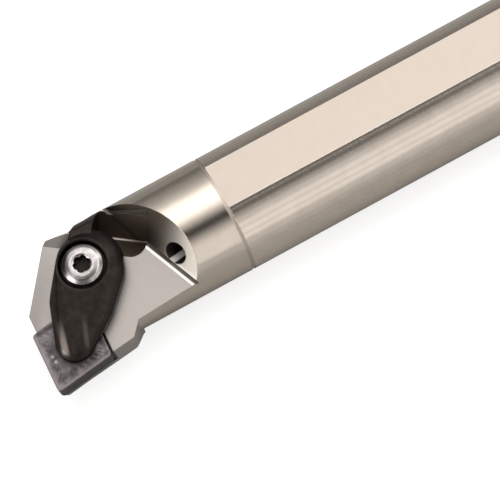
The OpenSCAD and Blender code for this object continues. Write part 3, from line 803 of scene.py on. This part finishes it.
# Its edges and its height in metres, just below the bar
FLOOR_REAR, FLOOR_FRONT, FLOOR_SIDE = -1.5, 1.7, 1.5
FLOOR_Z = cad_box[0][2] - 0.0002
floor_mesh = bpy.data.meshes.new("floor")
floor_mesh.from_pydata([(FLOOR_REAR, -FLOOR_SIDE, FLOOR_Z), (FLOOR_FRONT, -FLOOR_SIDE, FLOOR_Z),
                        (FLOOR_FRONT, FLOOR_SIDE, FLOOR_Z), (FLOOR_REAR, FLOOR_SIDE, FLOOR_Z)],
                       [], [(0, 1, 2, 3)])
floor = in_scene("floor", floor_mesh)
dress(floor, pale_floor())

# Light: radiance against the angle about the bar in degrees, 0 straight up, 90 at the cutting side,
# the most that it has, and the radiance of two brighter patches, with the way to the front one
ROUND_LIGHT = [
    (-180, 0.25), (-152, 0.42), (-131, 0.3), (-112, 0.2), (-94, 0.17), (-82, 0.2), (-70, 0.34),
    (-59, 0.45), (-44, 0.8), (-37, 1.2), (-30, 1.8), (-16, 2.0), (-4, 1.95), (5, 1.3), (12, 0.72),
    (17, 0.46), (24, 0.08), (29, 0.02), (33, 0.04), (37, 0.18), (42, 0.38), (49, 0.66), (58, 0.96),
    (76, 1.0), (87, 1.0), (100, 0.8), (115, 0.6), (132, 0.42), (152, 0.34), (180, 0.25),
]
BRIGHTEST = 2.0
REAR_PATCH, FRONT_PATCH = 2.24, 3.36
FRONT_PATCH_WAY = (0.96, -0.05, 0.27)


def light_room():
    """The world. Its radiance is a ramp over the direction's angle about the bar's axis, darkened
    in two zones ahead of the head, one on each side, and raised in two patches, one high behind the
    bar and one ahead of it. The camera sees plain white instead."""
    world = bpy.data.worlds.new("soft_room")
    bpy.context.scene.world = world
    world.use_nodes = True
    nodes = Value(world.node_tree)
    way = nodes.node("ShaderNodeTexCoord", out="Generated")
    x, y, z = nodes.axes(way)
    turn = nodes.math("ARCTAN2", y, z) / (2 * math.pi) + 0.5
    stops = [((angle + 180) / 360, grey(radiance / BRIGHTEST)) for angle, radiance in ROUND_LIGHT]
    light = nodes.node("ShaderNodeValToRGB", {"stops": stops}, {0: turn})
    ahead = nodes.vector("DOT_PRODUCT", way, FRONT_PATCH_WAY, out=1)
    for share, radiance in (
            (x.step(0.16, 0.46) * (1 - y.step(-0.1, 0.04)) * 0.95, 0.0),
            (x.step(0.0, 0.2) * y.step(0.3, 0.42) * 0.75, 0.0),
            ((1 - x.step(-0.42, -0.26)) * z.step(0.5, 0.68) * (1 - abs(y).step(0.58, 0.78)), REAR_PATCH),
            (ahead.step(0.78, 0.93) * y.step(-0.1, 0.03), FRONT_PATCH)):
        light = nodes.mix(share, light, grey(radiance / BRIGHTEST))
    room = nodes.node("ShaderNodeBackground", {}, {"Color": light, "Strength": BRIGHTEST})
    white = nodes.node("ShaderNodeBackground", {}, {"Color": grey(1.0), "Strength": 1.0})
    seen = nodes.node("ShaderNodeLightPath", out="Is Camera Ray")
    end = nodes.node("ShaderNodeMixShader", {}, {0: seen, 1: room, 2: white})
    nodes.feed(world.node_tree.nodes["World Output"].inputs[0], end)


light_room()

# Camera: the point that it aims at and its distance from it in millimetres, the azimuth and the
# elevation at which it stands, its roll, and its focal length in pixels of the photograph
AIM, DISTANCE = np.array([152.638, 9.937, 0.0]), 878.3
AZIMUTH, ELEVATION, ROLL = math.radians(77.398), math.radians(61.478), math.radians(-17.377)
PHOTO_SIDE, FOCAL_LENGTH = 500, 4394.39
SENSOR, NEAREST, FURTHEST = 36, 0.05, 20


def photo_camera():
    """The camera's back is the direction of its azimuth and elevation. Its right is level and its up
    is square to both, and both are turned about the line of sight by the roll."""
    back = np.array([math.cos(ELEVATION) * math.cos(AZIMUTH), math.cos(ELEVATION) * math.sin(AZIMUTH),
                     math.sin(ELEVATION)])
    level = np.array([-math.sin(AZIMUTH), math.cos(AZIMUTH), 0.0])
    upright = np.cross(back, level)
    right = level * math.cos(ROLL) + upright * math.sin(ROLL)
    up = upright * math.cos(ROLL) - level * math.sin(ROLL)
    place = (AIM + back * DISTANCE) * MM
    camera = in_scene("camera", bpy.data.cameras.new("camera"))
    camera.data.sensor_width = SENSOR
    camera.data.lens = SENSOR * FOCAL_LENGTH / PHOTO_SIDE
    camera.data.clip_start, camera.data.clip_end = NEAREST, FURTHEST
    camera.matrix_world = Matrix([*np.column_stack([right, up, back, place]).tolist(), [0, 0, 0, 1]])
    return camera


bpy.context.scene.camera = photo_camera()
bpy.context.scene.view_settings.view_transform = "Standard"
